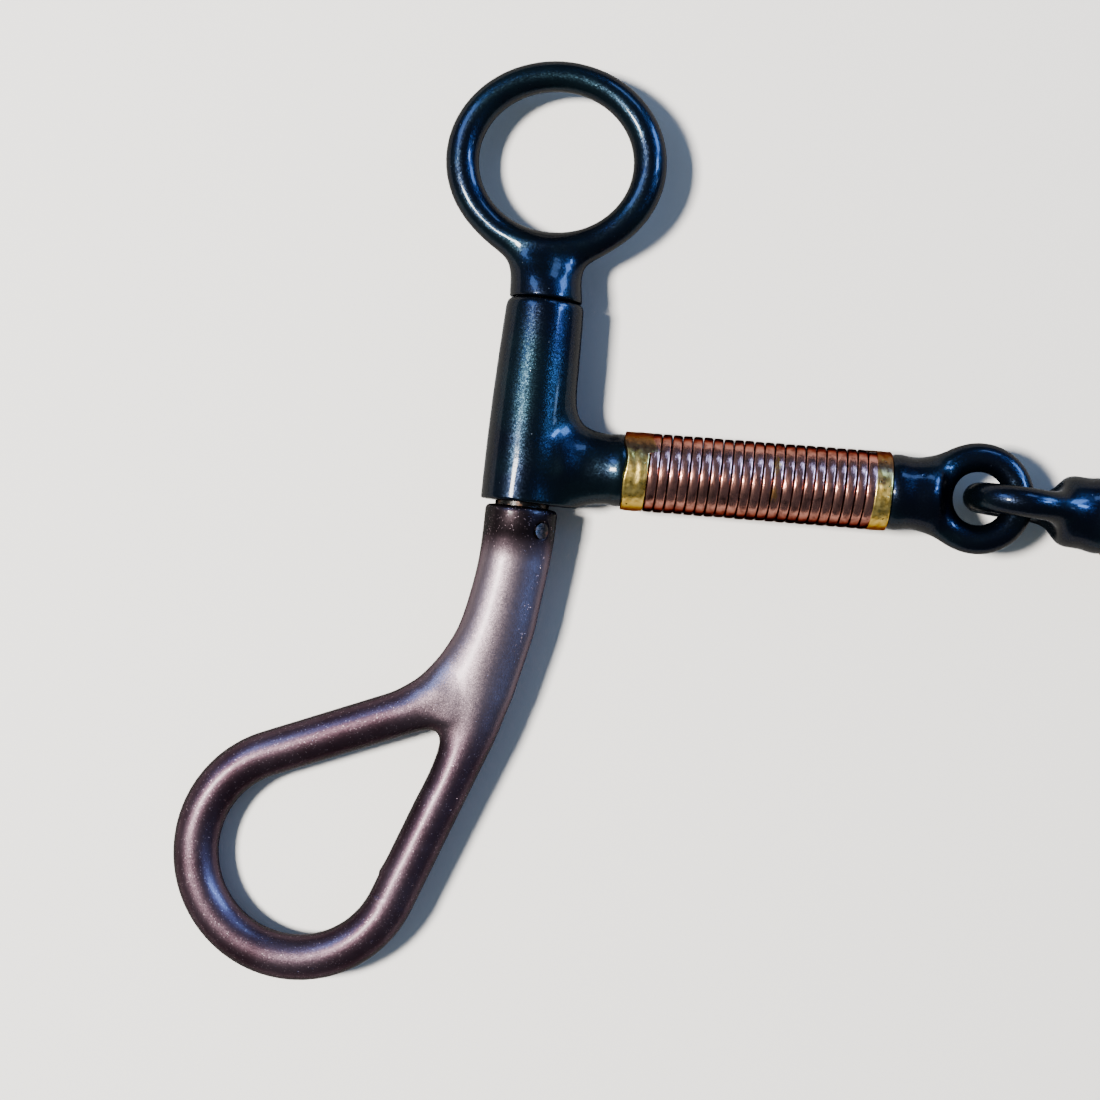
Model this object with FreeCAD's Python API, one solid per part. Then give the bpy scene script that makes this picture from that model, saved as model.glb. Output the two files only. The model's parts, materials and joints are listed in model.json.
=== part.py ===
"""A single-jointed snaffle bit with swivelling shanked cheeks, lying flat on a surface.

Millimetres. +X runs along the mouthpiece from the left cheek to the right one, +Y from the rein loops
to the headstall rings, and +Z up. The origin is under the middle of the whole bit, on the surface.

Each side is first built in its own cheek frame: the sleeve's axis is the Y axis, the mouth arm runs
along +X towards the centre joint, and the rein loop reaches towards -X. The arm is built square to
the sleeve and then lifted a little towards the ring, as it is cast. Then each side is placed, and the
right one is the mirror image of the left, with its eye turned a quarter turn.
"""
import FreeCAD
import Part
import math
import os

Vec = FreeCAD.Vector
X_AXIS = Vec(1, 0, 0)
Y_AXIS = Vec(0, 1, 0)
Z_AXIS = Vec(0, 0, 1)

# Overall
mouth_width = 127.0          # between the inner faces of the two sleeves

# Sleeve, a slightly tapered tube that the cheek turns in
sleeve_top = 24.1            # above the mouth axis
sleeve_bottom = -5.9
sleeve_top_radius = 5.7
sleeve_bottom_radius = 6.2
sleeve_top_round = 0.8
sleeve_bottom_round = 0.3

# Spindle and what holds the cheek on it
spindle_radius = 3.5
running_clearance = 0.03     # radial, spindle in sleeve
end_play = 0.05              # axial, at each end of the sleeve
ring_tenon_radius = 2.2
ring_tenon_top = 29.0
shank_tenon_radius = 2.75
shank_tenon_bottom = -15.0
washer_radius = 4.0
washer_thickness = 0.55
ring_pin_radius = 1.0
ring_pin_height = 26.6
ring_pin_front = 3.2         # how far in front of the axis the blind hole ends
shank_pin_radius = 1.2
shank_pin_height = -9.8

# Mouth arm: half sizes of the section, (distance from the sleeve's axis, along Y, along Z)
arm_rise = 2.1               # degrees by which it climbs towards the ring on its way to the centre
flare_sections = [(4.5, 11.5, 3.9), (6.2, 8.8, 5.0), (7.6, 6.5, 5.3), (9.5, 5.45, 5.3),
                  (12.0, 5.2, 5.2), (14.6, 5.3, 5.3)]
core_radius = 4.65
arm_end_radius = 5.4

# Copper winding and its two bands, as distances from the sleeve's axis
outer_band_start = 14.6
winding_start = 18.6
winding_end = 50.2
inner_band_end = 53.4
band_radius = 5.85
wire_outer_radius = 5.85
wire_turns = 21
wire_groove = 0.22           # half width of the groove between two turns
wire_groove_depth = 0.45

# Eyes
eye_wire_radius = 2.15
eye_hole_radius = 3.9
eye_neck_sections = [(0.0, 5.4, 5.4), (3.2, 5.35, 5.3), (5.4, 5.6, 4.1), (7.6, 6.2, 1.9)]

# Headstall ring
ring_centre = 44.7
ring_hole_half_width = 11.5
ring_side_thickness = 4.9
ring_squash = 0.91           # the ring's height over its width
ring_set_back = 0.9          # how far its centre is behind the sleeve's axis
neck_sections = [(0.0, 5.4, 5.4), (3.3, 5.35, 5.0), (5.9, 6.2, 3.9), (7.9, 8.6, 2.4)]

# Shank: head, stem, web and teardrop rein loop
head_radius = 5.35
stem_top = -11.0
loop_corner = Vec(-0.5, -32.9, 0)      # where the centre lines of the loop's two legs would meet
upper_leg_angle = 23.8                 # below the horizontal, running back
front_leg_angle = 70.5
loop_radius = 15.5                     # of the rod's centre line round the loop's end
rod_width = 6.7
rod_thickness = 6.4
rod_round = 3.0
web_corner_radius = 2.1                # the hole's corner, next to the web
web_fillet_start = -15.6               # X on the upper leg's back edge
web_fillet_end = Vec(-8.3, -28.3, 0)
taper_start = -12.0
taper_end = Vec(-1.8, -26.0, 0)
taper_end_half = (5.4, 3.25)

# What follows from the driving dimensions
eye_mean_radius = eye_hole_radius + eye_wire_radius
eye_outer_radius = eye_mean_radius + eye_wire_radius
sleeve_slope = (sleeve_top_radius - sleeve_bottom_radius) / (sleeve_top - sleeve_bottom)
sleeve_radius_at_arm = sleeve_bottom_radius - sleeve_slope * sleeve_bottom
cheek_spacing = mouth_width + 2 * sleeve_radius_at_arm
level_share = math.cos(math.radians(arm_rise))
eye_reach = (cheek_spacing / level_share - eye_mean_radius) / 2    # sleeve axis to the arm's own eye
ring_mean_half_width = ring_hole_half_width + ring_side_thickness / 2
ring_top = ring_centre + (ring_hole_half_width + ring_side_thickness) * ring_squash

# The bit lies on its sleeves, its rein loops and the upright right eye, which lifts the centre joint
joint_lift = eye_outer_radius - sleeve_bottom_radius
left_level = (eye_reach + eye_mean_radius) * level_share
right_level = eye_reach * level_share
left_slope = math.degrees(math.asin(joint_lift / left_level))
right_slope = math.degrees(math.asin(joint_lift / right_level))
left_span = left_level * math.cos(math.radians(left_slope))
right_span = right_level * math.cos(math.radians(right_slope))
left_cheek_x = -(left_span + right_span) / 2
right_cheek_x = -left_cheek_x
joint_x = left_cheek_x + left_span
cheek_height = sleeve_bottom_radius
floor_gap = 0.02


def downward(angle):
    """A unit vector in the cheek's plane, pointing back and this many degrees below the horizontal."""
    return Vec(-math.cos(math.radians(angle)), -math.sin(math.radians(angle)), 0)


def left_of(direction):
    """The unit vector a quarter turn anticlockwise from a direction in the cheek's plane."""
    return Vec(-direction.y, direction.x, 0)


upper_leg = downward(upper_leg_angle)
front_leg = downward(front_leg_angle)
upper_side = left_of(upper_leg) * -1         # away from the loop's hole
front_side = left_of(front_leg)
half_corner = math.radians((front_leg_angle - upper_leg_angle) / 2)
loop_axis = downward((front_leg_angle + upper_leg_angle) / 2)
loop_centre = loop_corner + loop_axis * (loop_radius / math.sin(half_corner))
shank_bottom = loop_centre.y - loop_radius - rod_width / 2
loop_reach = -(loop_centre.x - loop_radius - rod_width / 2)
mouth_axis_y = -(ring_top + shank_bottom) / 2
joint_y = mouth_axis_y + (eye_reach + eye_mean_radius) * math.sin(math.radians(arm_rise))
lie_angle = math.degrees(math.asin((cheek_height - rod_thickness / 2 - floor_gap)
                                   / (loop_reach - rod_round)))


def oval_wire(centre, axis, side, half_side, half_other):
    """An ellipse about centre, in the plane square to axis, half_side along side."""
    if abs(half_side - half_other) < 1e-9:
        return Part.Wire([Part.makeCircle(half_side, centre, axis)])
    long_dir = side if half_side > half_other else axis.cross(side)
    ellipse = Part.Ellipse(centre + long_dir * max(half_side, half_other),
                           centre + axis.cross(long_dir) * min(half_side, half_other), centre)
    return Part.Wire([ellipse.toShape()])


def loft(wires):
    return Part.makeLoft(wires, True, False)


def rod(radius, start, end):
    """A round rod from one point to another."""
    return Part.makeCylinder(radius, (end - start).Length, start, end - start)


def tangent_arc(start, direction, end):
    """The arc that leaves start along direction and ends at end, with its direction there."""
    chord = end - start
    normal = left_of(direction)
    radius = chord.Length ** 2 / (2 * chord.dot(normal))
    centre = start + normal * radius
    half_turn = math.asin(chord.Length / (2 * radius))
    turn = FreeCAD.Rotation(Z_AXIS, math.degrees(half_turn))
    middle = centre + turn.multVec(start - centre)
    end_direction = turn.multVec(turn.multVec(direction))
    return Part.Arc(start, middle, end).toShape(), end_direction


def round_arc(centre, radius, start_side, middle_side, end_side):
    """An arc about centre, through three directions from it."""
    points = [centre + side * radius for side in (start_side, middle_side, end_side)]
    return Part.Arc(*points).toShape()


def headstall_ring():
    """The oval ring with its neck, before the spindle's hole."""
    torus = Part.makeTorus(ring_mean_half_width, ring_side_thickness / 2)
    squash = FreeCAD.Matrix()
    squash.scale(1, ring_squash, 1)
    ring = torus.transformGeometry(squash)
    ring.translate(Vec(-ring_set_back, ring_centre, 0))
    neck_base = sleeve_top + end_play
    neck_height = neck_sections[-1][0]
    wires = [oval_wire(Vec(-ring_set_back * up / neck_height, neck_base + up, 0), Y_AXIS, X_AXIS, wide, deep)
             for up, wide, deep in neck_sections]
    return ring.fuse(loft(wires)).removeSplitter()


def spindle():
    """The pin that the cheek turns on, with a smaller tenon at each end."""
    low = sleeve_bottom - end_play - washer_thickness
    high = sleeve_top + end_play
    body = rod(spindle_radius, Vec(0, low, 0), Vec(0, high, 0))
    ring_tenon = rod(ring_tenon_radius, Vec(0, high, 0), Vec(0, ring_tenon_top, 0))
    shank_tenon = rod(shank_tenon_radius, Vec(0, shank_tenon_bottom, 0), Vec(0, low, 0))
    return body.fuse([ring_tenon, shank_tenon]).removeSplitter()


def thrust_washer():
    low = sleeve_bottom - end_play - washer_thickness
    disc = rod(washer_radius, Vec(0, low, 0), Vec(0, low + washer_thickness, 0))
    return disc.cut(spindle())


def loop_outline():
    """The shank's outer edge, from the stem's front corner round the loop to its back corner."""
    half = rod_width / 2
    stem_front = Vec(head_radius - 0.05, stem_top, 0)
    stem_back = Vec(-head_radius + 0.05, stem_top, 0)
    leg_front = loop_corner + front_side * half + front_leg * 5.5
    front_edge = tangent_arc(leg_front, front_leg * -1, stem_front)[0]
    loop_end = round_arc(loop_centre, loop_radius + half, front_side, loop_axis, upper_side)
    front_tangent = loop_centre + front_side * (loop_radius + half)
    upper_tangent = loop_centre + upper_side * (loop_radius + half)
    upper_line_start = loop_corner + upper_side * half
    along = (web_fillet_start - upper_line_start.x) / upper_leg.x
    fillet_start = upper_line_start + upper_leg * along
    fillet, fillet_way = tangent_arc(fillet_start, upper_leg * -1, web_fillet_end)
    back_edge = tangent_arc(web_fillet_end, fillet_way, stem_back)[0]
    edges = [Part.makeLine(stem_back, stem_front), front_edge,
             Part.makeLine(leg_front, front_tangent), loop_end,
             Part.makeLine(upper_tangent, fillet_start), fillet, back_edge]
    return Part.Wire(Part.__sortEdges__(edges))


def loop_hole():
    """The teardrop hole's edge."""
    half = rod_width / 2
    corner_out = web_corner_radius + half
    corner_centre = loop_corner + loop_axis * (corner_out / math.sin(half_corner))
    corner = round_arc(corner_centre, web_corner_radius, front_side, loop_axis * -1, upper_side)
    hole_end = round_arc(loop_centre, loop_radius - half, front_side, loop_axis, upper_side)
    lines = [Part.makeLine(corner_centre + side * web_corner_radius,
                           loop_centre + side * (loop_radius - half))
             for side in (front_side, upper_side)]
    return Part.Wire(Part.__sortEdges__([corner, hole_end] + lines))


def shank():
    """Head, stem, web and rein loop in one piece, before the spindle's hole."""
    face = Part.Face([loop_outline(), loop_hole()])
    face.translate(Vec(0, 0, -rod_thickness / 2))
    plate = face.extrude(Vec(0, 0, rod_thickness))
    rims = [edge for edge in plate.Edges
            if abs(edge.BoundBox.ZLength) < 1e-6 and edge.BoundBox.YMin < stem_top - 1e-6]
    plate = plate.makeFillet(rod_round, rims)
    head_top = sleeve_bottom - end_play - washer_thickness
    head = rod(head_radius, Vec(0, head_top, 0), Vec(0, taper_start, 0))
    head = head.makeFillet(0.4, [e for e in head.Edges if abs(e.BoundBox.YMin - head_top) < 1e-6
                                 and e.BoundBox.YLength < 1e-6])
    wide, deep = taper_end_half
    way = Vec(-0.15, -1, 0).normalize()
    taper = loft([Part.Wire([Part.makeCircle(head_radius, Vec(0, taper_start, 0), Y_AXIS * -1)]),
                  oval_wire(taper_end, way, way.cross(Z_AXIS), wide, deep)])
    return plate.fuse([head, taper]).removeSplitter()


def sleeve():
    """The tapered tube's outside, rounded at both ends."""
    cone = Part.makeCone(sleeve_bottom_radius, sleeve_top_radius, sleeve_top - sleeve_bottom,
                         Vec(0, sleeve_bottom, 0), Y_AXIS)
    top_edge = [e for e in cone.Edges if e.BoundBox.YMin > sleeve_top - 1e-3]
    cone = cone.makeFillet(sleeve_top_round, top_edge)
    bottom_edge = [e for e in cone.Edges if e.BoundBox.YMax < sleeve_bottom + 1e-3]
    return cone.makeFillet(sleeve_bottom_round, bottom_edge)


def lifted(shape):
    """Turns a piece of the arm towards the ring, about the middle of the sleeve."""
    shape.rotate(Vec(0, 0, 0), Z_AXIS, arm_rise)
    return shape


def mouth_arm(eye_upright):
    """Sleeve, arm and eye in one casting. An upright eye lies in the XZ plane."""
    flare = loft([oval_wire(Vec(out, 0, 0), X_AXIS, Y_AXIS, tall, deep)
                  for out, tall, deep in flare_sections])
    core = rod(core_radius, Vec(outer_band_start, 0, 0), Vec(inner_band_end, 0, 0))
    eye_neck = loft([oval_wire(Vec(inner_band_end + out, 0, 0), X_AXIS, Y_AXIS, wide, deep)
                     for out, wide, deep in eye_neck_sections])
    eye = Part.makeTorus(eye_mean_radius, eye_wire_radius, Vec(eye_reach, 0, 0), Z_AXIS)
    tip = eye_neck.fuse(eye)
    if eye_upright:
        tip.rotate(Vec(0, 0, 0), X_AXIS, 90)
    below = Part.makeBox(40, 40, 40, Vec(-20, sleeve_bottom - 40, -20))
    flare = lifted(flare).cut(below)
    bore = rod(spindle_radius + running_clearance, Vec(0, sleeve_bottom - 1, 0),
               Vec(0, sleeve_top + 1, 0))
    return sleeve().fuse([flare, lifted(core), lifted(tip)]).removeSplitter().cut(bore)


def band(start, end):
    """A brass band on the arm's core."""
    outer = rod(band_radius, Vec(start, 0, 0), Vec(end, 0, 0))
    return outer.cut(rod(core_radius, Vec(start - 1, 0, 0), Vec(end + 1, 0, 0)))


def copper_winding():
    """The flattened wire as a tube with one rib for each turn."""
    pitch = (winding_end - winding_start) / wire_turns
    groove_radius = wire_outer_radius - wire_groove_depth
    points = [Vec(winding_start, core_radius, 0), Vec(winding_start, wire_outer_radius, 0)]
    for turn in range(1, wire_turns):
        seam = winding_start + turn * pitch
        points += [Vec(seam - wire_groove, wire_outer_radius, 0), Vec(seam, groove_radius, 0),
                   Vec(seam + wire_groove, wire_outer_radius, 0)]
    points += [Vec(winding_end, wire_outer_radius, 0), Vec(winding_end, core_radius, 0)]
    profile = Part.Face(Part.makePolygon(points + points[:1]))
    return profile.revolve(Vec(0, 0, 0), X_AXIS, 360)


def cheek_pieces():
    """The pieces that turn together in the sleeve."""
    ring = headstall_ring()
    stem = shank()
    shaft = spindle()
    ring_pin = rod(ring_pin_radius, Vec(0, ring_pin_height, -head_radius * 2),
                   Vec(0, ring_pin_height, ring_pin_front)).common(ring)
    reach = Vec(1, 0, 1).normalize() * head_radius * 2
    middle = Vec(0, shank_pin_height, 0)
    shank_pin = rod(shank_pin_radius, middle - reach, middle + reach).common(stem)
    return {"headstall_ring": ring.cut(shaft).cut(ring_pin),
            "shank": stem.cut(shaft).cut(shank_pin),
            "spindle": shaft.cut(ring_pin).cut(shank_pin),
            "thrust_washer": thrust_washer(),
            "ring_lock_pin": ring_pin,
            "shank_lock_pin": shank_pin}


def arm_pieces(eye_upright):
    """The pieces of one half of the mouth."""
    return {"mouth_arm": mouth_arm(eye_upright),
            "outer_band": lifted(band(outer_band_start, winding_start)),
            "copper_winding": lifted(copper_winding()),
            "inner_band": lifted(band(winding_end, inner_band_end))}


def place(shape, turn, cheek_x):
    """Turns a piece about the sleeve's axis, mirrors it for the right side and sets it down."""
    shape.rotate(Vec(0, 0, 0), Y_AXIS, turn)
    if cheek_x > 0:
        shape = shape.mirror(Vec(0, 0, 0), X_AXIS)
    shape.translate(Vec(cheek_x, mouth_axis_y, cheek_height))
    return shape


def build():
    parts = {}
    for side, cheek_x, slope in (("left", left_cheek_x, left_slope),
                                 ("right", right_cheek_x, right_slope)):
        for name, shape in cheek_pieces().items():
            parts[f"{side}_{name}"] = place(shape, -lie_angle, cheek_x)
        for name, shape in arm_pieces(side == "right").items():
            parts[f"{side}_{name}"] = place(shape, -slope, cheek_x)
    return parts


def main():
    os.makedirs("parts", exist_ok=True)
    for name, shape in build().items():
        solids = shape.Solids
        print(f"{name}: {len(solids)} solid, {shape.Volume:.1f} mm3, valid {shape.isValid()}")
        (solids[0] if len(solids) == 1 else shape).exportStep(f"parts/{name}.step")


main()
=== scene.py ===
# %% [markdown]
# # A copper-wound snaffle bit
# This lesson dresses a finished CAD model of a bridle bit. The CAD holds every size and every joint;
# here each casting gets its melted, hand-ground shape, and each metal gets its own finish.
# The first step loads that model. Everything after it takes its places from the frame.

# %% Load the frame
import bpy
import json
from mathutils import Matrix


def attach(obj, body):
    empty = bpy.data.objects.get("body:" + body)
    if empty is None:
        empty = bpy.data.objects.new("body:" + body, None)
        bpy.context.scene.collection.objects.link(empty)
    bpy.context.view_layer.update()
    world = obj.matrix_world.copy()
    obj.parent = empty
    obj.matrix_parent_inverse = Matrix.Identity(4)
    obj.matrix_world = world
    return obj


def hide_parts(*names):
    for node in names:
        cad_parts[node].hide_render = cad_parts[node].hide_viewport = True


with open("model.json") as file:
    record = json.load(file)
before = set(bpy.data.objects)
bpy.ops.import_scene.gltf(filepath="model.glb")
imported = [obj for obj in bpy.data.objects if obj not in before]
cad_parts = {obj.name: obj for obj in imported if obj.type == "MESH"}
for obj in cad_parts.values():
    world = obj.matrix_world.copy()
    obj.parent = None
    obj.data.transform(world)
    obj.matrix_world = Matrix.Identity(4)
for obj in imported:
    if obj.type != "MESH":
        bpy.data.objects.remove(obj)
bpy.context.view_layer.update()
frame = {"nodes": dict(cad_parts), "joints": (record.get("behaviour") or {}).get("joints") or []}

# %% Tools for numbers and places
import json
import math

import bpy
import numpy as np
import openvdb as vdb
from mathutils import Matrix, Vector

MM = 0.001

# %% [markdown]
# ## Where things are
# A smith would measure the bit from two lines: the axis of the sleeve that the cheek turns in, and the
# axis of the mouthpiece. Each half of the bit is made in that frame, in millimetres: the sleeve's axis
# is Y, the mouth runs along +X towards the centre, and the rein loop hangs towards -X. One matrix
# then sets each piece down where the CAD has it. The alternative, modelling in place, would hide the
# round numbers behind the few degrees by which the bit leans on the surface.

# %% Places, read from the joints
joint_at = {joint["name"]: Vector(joint["pos_m"]) for joint in frame["joints"]}
cheek_at = {side: joint_at[side + "_cheek_swivel"] for side in ("left", "right")}
centre_at = joint_at["centre_fold"]
print("sleeve axes at x =", [round(at.x / MM, 2) for at in cheek_at.values()], "mm")

# %% How far each half leans
rod_half = (3.35, 3.2)       # the loop's rod: half its width, half its thickness
loop_reach = 42.95           # from the sleeve's axis to where the loop's rod touches the surface
sleeve_ends = (-5.9, 24.1)
sleeve_radii = (6.2, 5.7)    # at its lower end and at its top
rod_gap = 0.02               # under the rod
arm_lean = {}
arm_level = {}               # from the sleeve's axis to the centre joint, in the arm's own plane
for side, at in cheek_at.items():
    arm_lean[side] = math.atan2(centre_at.z - at.z, abs(centre_at.x - at.x))
    arm_level[side] = math.hypot(centre_at.z - at.z, centre_at.x - at.x) / MM
cheek_lean = math.asin((sleeve_radii[0] - rod_half[1] - rod_gap) / loop_reach)
print("arms lean", [round(math.degrees(a), 2) for a in arm_lean.values()], "degrees")
print("cheeks lean", round(math.degrees(cheek_lean), 2), "degrees")

# %% How far the arms climb towards the rings
arm_rise = math.atan2((centre_at.y - cheek_at["left"].y) / MM, arm_level["left"])
print("arms climb", round(math.degrees(arm_rise), 2), "degrees")


def onto_arm(x, y):
    """Turns places in the half's frame into distances along the arm and across it."""
    return (x * math.cos(arm_rise) + y * math.sin(arm_rise),
            y * math.cos(arm_rise) - x * math.sin(arm_rise))


def off_arm(along, across, up):
    """The points of the half's frame for places measured on the arm."""
    return np.stack([along * math.cos(arm_rise) - across * math.sin(arm_rise),
                     along * math.sin(arm_rise) + across * math.cos(arm_rise), up], axis=-1)


# %% Setting a half down
def set_down(side, lean):
    """The matrix that takes a half's own frame to its place. The right half's mesh is mirrored."""
    turn = -lean if side == "left" else lean
    return Matrix.Translation(cheek_at[side]) @ Matrix.Rotation(turn, 4, "Y")


# %% [markdown]
# ## Melting shapes together
# Castings have no sharp inside corners. Polygon modelling gets there with many hand-placed loops;
# a distance field gets there with one number. A field says, for any point, how far it is outside the
# metal. The smaller of two fields joins two shapes, and a *soft* smaller melts them with a fillet.

# %% Soft joins and cuts
def soft_min(a, b, width):
    """Joins two fields with a fillet, which begins where they differ by less than width."""
    overlap = np.maximum(width - np.abs(a - b), 0) / width
    return np.minimum(a, b) - overlap ** 3 * width / 6


def soft_max(a, b, width):
    """Keeps what lies in both fields, with a rounded edge."""
    return -soft_min(-a, -b, width)


# %% Bars whose section changes along them
def oval_bar(side_offset, depth_offset, half_side, half_depth):
    """The field of a bar with an oval section: offsets from its centre line, and its half sizes."""
    reach = np.sqrt((side_offset / half_side) ** 2 + (depth_offset / half_depth) ** 2)
    return (reach - 1) * np.minimum(half_side, half_depth)


def curve_through(places, values):
    """A smooth function through a few given values, flat beyond its ends."""
    places = np.array(places, float)
    values = np.array(values, float)
    slopes = np.gradient(values, places)
    slopes[[0, -1]] = 0

    def value_at(place):
        place = np.clip(place, places[0], places[-1])
        i = np.clip(np.searchsorted(places, place) - 1, 0, len(places) - 2)
        span = places[i + 1] - places[i]
        t = (place - places[i]) / span
        start = values[i] * (2 * t + 1) * (t - 1) ** 2 + slopes[i] * span * t * (t - 1) ** 2
        end = values[i + 1] * t ** 2 * (3 - 2 * t) + slopes[i + 1] * span * t ** 2 * (t - 1)
        return start + end

    return value_at


# %% [markdown]
# ## From a field to a mesh
# OpenVDB turns a grid of field values into even quads. Its points lie a little off the true surface,
# so each is slid along the field's slope until it sits on it. Between slides the points relax towards
# their neighbours, which evens the quads out. The result reflects light like one polished surface.

# %% Points on the surface, evenly spread
def slope_of(field, points, step=0.02):
    """The field's gradient at each point, by small steps both ways."""
    slope = np.empty_like(points)
    for axis in range(3):
        shift = np.zeros(3)
        shift[axis] = step
        slope[:, axis] = field(*(points + shift).T) - field(*(points - shift).T)
    return slope / (2 * step)


longest_slide = 0.3
least_steepness = 0.05       # keeps a point still where the field is flat


def slide_onto(field, points, rounds):
    """Moves each point along the field's slope to where the field is zero."""
    for _ in range(rounds):
        slope = slope_of(field, points)
        steepness = np.maximum((slope ** 2).sum(1), least_steepness)
        move = -(field(*points.T) / steepness)[:, None] * slope
        points = points + np.clip(move, -longest_slide, longest_slide)
    return points


def relax(points, quads):
    """Moves each point halfway to the mean of its neighbours."""
    total = np.zeros_like(points)
    count = np.zeros(len(points))
    for a in range(4):
        here, there = quads[:, a], quads[:, (a + 1) % 4]
        for one, other in ((here, there), (there, here)):
            np.add.at(total, one, points[other])
            np.add.at(count, one, 1)
    return (points + total / np.maximum(count, 1)[:, None]) / 2


# %% Mesh a field
def mesh_field(field, low, high, cell):
    """Points in millimetres and quads of the surface where the field is zero."""
    low = np.array(low, float)
    counts = np.ceil((np.array(high) - low) / cell).astype(int) + 1
    lines = [low[axis] + cell * np.arange(counts[axis]) for axis in range(3)]
    values = field(*np.meshgrid(*lines, indexing="ij"))
    far = 3 * cell
    grid = vdb.FloatGrid(far)
    grid.copyFromArray(np.clip(values, -far, far).astype(np.float32))
    points, quads = grid.convertToQuads(isovalue=0)
    points = low + cell * np.array(points, float)
    quads = np.array(quads, int)
    for _ in range(3):
        points = slide_onto(field, relax(points, quads), 2)
    return slide_onto(field, points, 3), quads


# %% Turn points into a Blender piece
def make_piece(name, points, faces, side, lean, body, node):
    """A smooth-shaded object from points in a half's own frame, standing for one CAD node."""
    points = np.array(points, float)
    faces = [list(map(int, face)) for face in faces]
    if side == "right":
        points = points * (-1, 1, 1)
        faces = [face[::-1] for face in faces]
    mesh = bpy.data.meshes.new(name)
    mesh.from_pydata((points * MM).tolist(), [], faces)
    mesh.validate()
    mesh.shade_smooth()
    piece = bpy.data.objects.new(name, mesh)
    bpy.context.scene.collection.objects.link(piece)
    piece.matrix_world = set_down(side, lean)
    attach(piece, body)
    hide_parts(node)
    print(f"{name}: {len(points)} points, {len(faces)} faces")
    return piece


def outward(points, quads, field):
    """Flips the quads if most of a sample of them face into the metal."""
    a, b, c = (points[quads[:200, i]] for i in range(3))
    normals = np.cross(b - a, c - b)
    facing = (normals * slope_of(field, a)).sum(1)
    return quads[:, ::-1] if np.median(facing) < 0 else quads


# %% [markdown]
# ## The headstall ring
# The ring is drawn from round bar, a little wider than high, and its short neck flows out of it.
# It could be a torus and a cylinder with a bevel between, but the eye sees that bevel end. In a field
# the ring is a torus measured in a squashed space, and the neck melts into it.

# %% The ring's field
ring_centre = 44.7
ring_bar = (13.95, 2.45)         # radius of the centre line, and of the bar
ring_squash = 0.91
ring_set_back = 0.9              # its centre is a little behind the sleeve's axis
neck_seat = 24.15
neck_top = 32.0
neck_depth = curve_through([24, 27, 29.5, 32], [5.4, 5.0, 3.9, 2.7])
neck_width = curve_through([24, 27, 29.5, 32], [5.4, 5.3, 5.4, 5.6])
tenon = (2.2, 29.0)              # radius and top of the spindle's tenon


def ring_field(x, y, z):
    high = (y - ring_centre) / ring_squash
    away = x + ring_set_back
    ring = np.sqrt((np.sqrt(away ** 2 + high ** 2) - ring_bar[0]) ** 2 + z ** 2) - ring_bar[1]
    lean_back = ring_set_back * np.clip((y - neck_seat) / (neck_top - neck_seat), 0, 1)
    neck = oval_bar(x + lean_back, z, neck_width(y), neck_depth(y))
    neck = soft_max(neck, y - neck_top, 1.5)
    body = soft_min(ring, neck, 4.2)
    body = soft_max(body, neck_seat - y, 0.5)
    hole = np.maximum(np.sqrt(x ** 2 + z ** 2) - tenon[0], y - tenon[1])
    return soft_max(body, -hole, 0.1)


# %% Make both rings
ring_room = ((-18.1, 23.6, -5.9), (16.3, 60.4, 5.9))     # corners of the space that it lies in
points, quads = mesh_field(ring_field, *ring_room, 0.27)
quads = outward(points, quads, ring_field)
rings = {}
for side in ("left", "right"):
    rings[side] = make_piece(side + "_ring_forging", points, quads, side, cheek_lean,
                             side + "_cheek", side + "_headstall_ring")

# %% [markdown]
# ## The mouth arm
# One casting holds the sleeve, the arm and the eye. The sleeve tapers to the top and swells a little
# in the middle. The arm's root is pressed flatter front and back, it narrows to a waist at each end,
# and it is turned down where the wire is wound. The fillet above the arm is wide, but front and back
# the two round bars just run into each other, so the melt gets narrower there.

# %% The sleeve and arm
sleeve_swell = 0.9               # four times what it swells in the middle
bore_radius = 3.53
arm_radius = curve_through([5, 9, 12, 14.2, 15.8, 30, 52.1, 53.5, 57, 60, 62],
                           [5.5, 5.3, 5.2, 5.3, 4.6, 4.6, 4.6, 5.4, 5.3, 5.2, 4.8])
arm_pressed = curve_through([5, 8.5, 14.2, 20], [1.0, 1.12, 1.0, 1.0])
arm_end = 60.8
fillet_widths = (2.0, 7.5)       # front and back, and above


def sleeve_field(x, y, z):
    share = (y - sleeve_ends[0]) / (sleeve_ends[1] - sleeve_ends[0])
    belly = sleeve_swell * share * (1 - share)
    radius = sleeve_radii[0] + share * (sleeve_radii[1] - sleeve_radii[0]) + belly
    return soft_max(np.sqrt(x ** 2 + z ** 2) - radius, y - sleeve_ends[1], 1.8)


def arm_field(x, y, z):
    along, across = onto_arm(x, y)
    arm = np.sqrt(across ** 2 + (z * arm_pressed(along)) ** 2) - arm_radius(along)
    arm = soft_max(arm, np.abs(along - arm_end / 2) - arm_end / 2, 3.0)
    level = 1 - np.clip(z / 5.6, -1, 1) ** 2
    fillet = fillet_widths[0] + (fillet_widths[1] - fillet_widths[0]) * level
    both = soft_min(arm, sleeve_field(x, y, z), fillet)
    both = soft_max(both, sleeve_ends[0] - y, 0.4)
    return soft_max(both, bore_radius - np.sqrt(x ** 2 + z ** 2), 0.3)


# %% [markdown]
# The two eyes link like two chain links, so the right one is turned a quarter turn about the arm.
# The field makes that easy: swap Y and Z before asking how far the eye is.

# %% The eye
eye_wire = 2.15
eye_ring = 6.05
eye_centre = arm_level["right"] / math.cos(arm_rise)


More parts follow.
